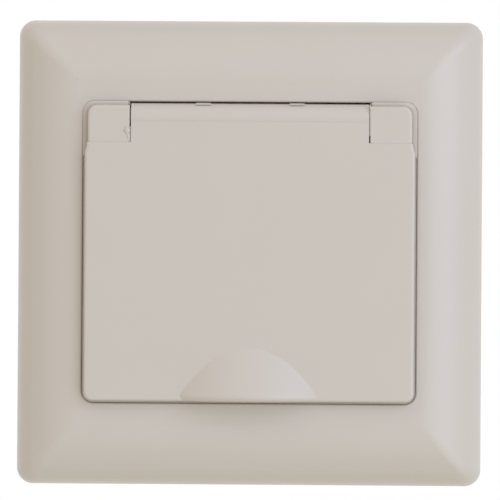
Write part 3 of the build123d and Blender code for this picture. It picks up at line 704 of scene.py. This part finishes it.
class SOCKET_OT_flash(bpy.types.Operator):
    """Add the moulding flash at the ears: the left burr, webs in the slits, seam lips and feet"""

    bl_idname = "socket.flash"
    bl_label = "Flash"

    def execute(self, context):
        sizes = context.scene.socket_flash
        plastic = finish_of("socket_insert")
        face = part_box("socket_insert")[0].y
        share = np.linspace(0, 1, BEAD_POINTS)
        # Half an ellipse along the bead, nought at its ends and one in the middle
        taper = np.sqrt(np.clip(1 - (2 * share - 1) ** 2, 0, 1))
        grids = {"ear_burr": self.burr(sizes, face, share, taper)}
        for side, sign in zip(SIDES, (-1, 1)):
            top = getattr(sizes, f"{side}_web_top")
            end = getattr(sizes, f"{side}_web_end")
            grids[f"{side}_web"] = self.web(sizes, face, share, taper, sign, top, end)
            grids[f"{side}_seam"] = self.seam(sizes, face, sign)
            grids[f"{side}_foot"] = self.foot(sizes, face, share, taper, sign)
        for name, grid in grids.items():
            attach(add_piece(name, [(grid, True)], plastic), "housing")
        return {"FINISHED"}

    def burr(self, sizes, face, share, taper):
        """Bead down the ear's side: a thin ridge that a bell curve thickens near its upper end.

        Its place leans in by the square of a cosine, which falls from one at its upper end to nought.
        """
        height = sizes.burr_top + share * (sizes.burr_end - sizes.burr_top)
        bell = np.exp(-(((share - sizes.burr_thick_at) / sizes.burr_spread) ** 2))
        thick = taper * (sizes.burr_thin + (1 - sizes.burr_thin) * bell)
        place = -sizes.ear_side - sizes.burr_inset - sizes.burr_lean * np.cos(share * np.pi / 2) ** 2
        route = np.stack([place, face + 0 * share, height], axis=-1)
        return bead(route, sizes.burr_width * thick, sizes.burr_height * thick)

    def web(self, sizes, face, share, taper, sign, top, end):
        """Bead down a slit, from inside the ear to just short of the tab; its ends are rounded off."""
        half = (sizes.ear_side - sizes.tab_side) / 2
        place = sign * (sizes.tab_side + sizes.tab_room + half)
        depth = face + sizes.web_depth + sizes.web_thickness
        route = np.stack([place + 0 * share, depth + 0 * share, top + share * (end - top)], axis=-1)
        blunt = np.minimum(1, sizes.web_ends * taper)
        return bead(route, half * blunt, sizes.web_thickness * blunt)

    def foot(self, sizes, face, share, taper, sign):
        """Bead along the lower edge of an ear's face, within the room that the turning lid leaves there."""
        place = sign * (sizes.ear_side + share * (sizes.foot_end - sizes.ear_side))
        depth = face + sizes.foot_depth
        route = np.stack([place, depth + 0 * share, sizes.foot_level + 0 * share], axis=-1)
        blunt = np.minimum(1, sizes.foot_ends * taper)
        return bead(route, sizes.foot_width * blunt, sizes.foot_height * blunt)

    def seam(self, sizes, face, sign):
        """Lip in the seam between frame and insert: along the top, round the corner, down beside the ear.

        The route is the corner's core plus the seam's radius at an angle that stays upright along the
        top, turns through a quarter and stays level down the side. The square of the angle's cosine
        carries the lip from its broad form over the ear to a thin bead beside it.
        """
        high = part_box("socket_insert")[1]
        core_place = high.x - sizes.seam_corner
        core_level = high.z - sizes.seam_corner
        run = np.linspace(0, 1, SEAM_POINTS)
        along = np.concatenate([run - 1, 0 * run, 0 * run])[1:-1]
        down = np.concatenate([0 * run, 0 * run, run])[1:-1]
        turn = np.concatenate([0 * run, run, 0 * run + 1])[1:-1] * np.pi / 2
        over = np.cos(turn) ** 2
        reach = sizes.seam_corner - sizes.seam_inset * over
        start = sizes.tab_side + sizes.tab_room
        place = core_place + along * (core_place - start) + reach * np.sin(turn)
        level = core_level + down * (sizes.seam_end - core_level) + reach * np.cos(turn)
        depth = face + sizes.plate_drop + sizes.seam_sink * over
        width = sizes.seam_width + (sizes.seam_top_width - sizes.seam_width) * over
        height = sizes.seam_height + (sizes.seam_top_height - sizes.seam_height) * over
        closed = np.ones(len(turn))
        closed[[0, -1]] = 0
        return bead(np.stack([sign * place, depth, level], axis=-1), width * closed, height * closed)


def facing(place, target):
    """Turn that points an object's -Z axis from its place at the target, with +Y up."""
    return (Vector(target) - Vector(place)).to_track_quat("-Z", "Y").to_matrix().to_4x4()


def soft_box(name, place, side, watts, tint):
    """Square area light that faces the origin and that no camera sees."""
    light = bpy.data.lights.new(name, "AREA")
    light.shape = "SQUARE"
    light.size = side
    light.energy = watts
    light.color = tint
    lamp = bpy.data.objects.new(name, light)
    lamp.matrix_world = Matrix.Translation(place) @ facing(place, (0, 0, 0))
    lamp.visible_camera = False
    bpy.context.scene.collection.objects.link(lamp)


def around(distance, side, rise):
    """Place this far in front of the wall's origin, turned to the right and upwards by these angles."""
    return Vector((sin(side) * cos(rise), -cos(side) * cos(rise), sin(rise))) * distance


def painted_floor(radius, fade_start):
    """Matt white floor paint that fades out towards the floor's rim, and that is clear from below."""
    tint = bpy.context.scene.socket_colours.floor
    material, tree, shader, place = new_material("painted_floor", Roughness=0.7, IOR=1.5)
    shader.inputs["Base Color"].default_value = (*tint, 1)
    reach = add_node(tree, "ShaderNodeVectorMath", {0: place}, operation="LENGTH")
    fade = add_node(
        tree,
        "ShaderNodeMapRange",
        {"Value": reach.outputs["Value"], "From Min": fade_start * radius, "From Max": radius},
        interpolation_type="SMOOTHSTEP",
    )
    under = add_node(tree, "ShaderNodeNewGeometry").outputs["Backfacing"]
    clear = add_node(tree, "ShaderNodeMath", {0: fade.outputs["Result"], 1: under}, operation="MAXIMUM")
    gone = add_node(tree, "ShaderNodeBsdfTransparent")
    mix = add_node(
        tree,
        "ShaderNodeMixShader",
        {0: clear.outputs["Value"], 1: shader.outputs["BSDF"], 2: gone.outputs["BSDF"]},
    )
    tree.links.new(mix.outputs["Shader"], tree.nodes["Material Output"].inputs["Surface"])
    return material


class SOCKET_OT_stage(bpy.types.Operator):
    """Set the camera, the soft boxes, the white surround and the floor"""

    bl_idname = "socket.stage"
    bl_label = "Stage"

    def execute(self, context):
        scene = context.scene
        sizes = scene.socket_stage
        scene.view_settings.view_transform = "Standard"
        self.set_camera(scene, sizes)
        self.set_lights(sizes)
        self.set_surround(scene, sizes)
        self.set_floor(scene, sizes)
        return {"FINISHED"}

    def set_camera(self, scene, sizes):
        """A camera whose lens gives the picture its width at the wall plane."""
        lens = bpy.data.cameras.new("camera")
        lens.sensor_width = SENSOR_WIDTH
        lens.lens = SENSOR_WIDTH * sizes.camera_distance / sizes.picture_width
        camera = bpy.data.objects.new("camera", lens)
        aim = Vector((0, 0, sizes.aim_rise))
        place = aim + around(sizes.camera_distance, sizes.camera_side, sizes.camera_rise)
        roll = Matrix.Rotation(sizes.camera_roll, 4, "Z")
        camera.matrix_world = Matrix.Translation(place) @ facing(place, aim) @ roll
        scene.collection.objects.link(camera)
        scene.camera = camera

    def set_lights(self, sizes):
        """Three soft boxes: a cool key on the right, a low one under it and a broad warm fill above."""
        for name in ("key", "low", "fill"):
            side, rise, size, watts, tint = (
                getattr(sizes, f"{name}_{part}") for part in ("side", "rise", "size", "power", "tint")
            )
            soft_box(f"{name}_box", around(sizes.light_distance, side, rise), size, watts, tint)

    def set_surround(self, scene, sizes):
        """A soft glow all round, which the camera, gloss and glass see as plain white."""
        world = bpy.data.worlds.new("surround")
        world.use_nodes = True
        scene.world = world
        tree = world.node_tree
        tree.nodes.clear()
        path = add_node(tree, "ShaderNodeLightPath").outputs
        seen = add_node(
            tree,
            "ShaderNodeMath",
            {0: path["Is Camera Ray"], 1: path["Is Glossy Ray"]},
            operation="MAXIMUM",
        )
        shown = add_node(
            tree,
            "ShaderNodeMath",
            {0: seen.outputs[0], 1: path["Is Transmission Ray"]},
            operation="MAXIMUM",
        )
        glow = add_node(
            tree, "ShaderNodeBackground", {"Color": (*sizes.surround_tint, 1), "Strength": sizes.surround}
        )
        white = add_node(tree, "ShaderNodeBackground", {"Color": (1, 1, 1, 1), "Strength": 1.0})
        mix = add_node(
            tree, "ShaderNodeMixShader", {0: shown.outputs[0], 1: glow.outputs[0], 2: white.outputs[0]}
        )
        add_node(tree, "ShaderNodeOutputWorld", {"Surface": mix.outputs[0]})

    def set_floor(self, scene, sizes):
        """A level disc under the frame: rings of even angles, from its middle to its rim.

        The angles run backwards, so that its faces look up.
        """
        level = CAD_BOX[0][2] - sizes.floor_drop
        turn = -even_turn(FLOOR_SIDES)
        reach = sizes.floor_radius * np.linspace(0, 1, FLOOR_RINGS)[:, None]
        points = np.stack(np.broadcast_arrays(reach * np.cos(turn), reach * np.sin(turn), level), axis=-1)
        faces = grid_faces(FLOOR_RINGS, FLOOR_SIDES, closed=True)
        mesh = merged_mesh("floor", points, faces, turned_out=False)
        mesh.materials.append(painted_floor(sizes.floor_radius, sizes.floor_fade))
        floor = bpy.data.objects.new("floor", mesh)
        scene.collection.objects.link(floor)


GROUPS = {
    "socket_screws": SocketScrewSizes,
    "socket_spring": SocketSpringSizes,
    "socket_flash": SocketFlashSizes,
    "socket_colours": SocketColours,
    "socket_stage": SocketStageSizes,
}
OPERATORS = (
    SOCKET_OT_covers,
    SOCKET_OT_base,
    SOCKET_OT_metalwork,
    SOCKET_OT_screws,
    SOCKET_OT_spring,
    SOCKET_OT_flash,
    SOCKET_OT_stage,
)


class SOCKET_PT_panel(bpy.types.Panel):
    """Steps that dress the socket"""

    bl_idname = "SOCKET_PT_panel"
    bl_label = "Socket"
    bl_space_type = "VIEW_3D"
    bl_region_type = "UI"
    bl_category = "Socket"

    def draw(self, context):
        for step in OPERATORS:
            self.layout.operator(step.bl_idname)


def register():
    for group in GROUPS.values():
        bpy.utils.register_class(group)
    for name, group in GROUPS.items():
        setattr(bpy.types.Scene, name, PointerProperty(type=group))
    for kind in (*OPERATORS, SOCKET_PT_panel):
        bpy.utils.register_class(kind)


def unregister():
    for kind in (SOCKET_PT_panel, *reversed(OPERATORS)):
        bpy.utils.unregister_class(kind)
    for name, group in GROUPS.items():
        delattr(bpy.types.Scene, name)
        bpy.utils.unregister_class(group)


def main():
    register()
    for step in OPERATORS:
        family, name = step.bl_idname.split(".")
        getattr(getattr(bpy.ops, family), name)()


if __name__ == "__main__":
    main()
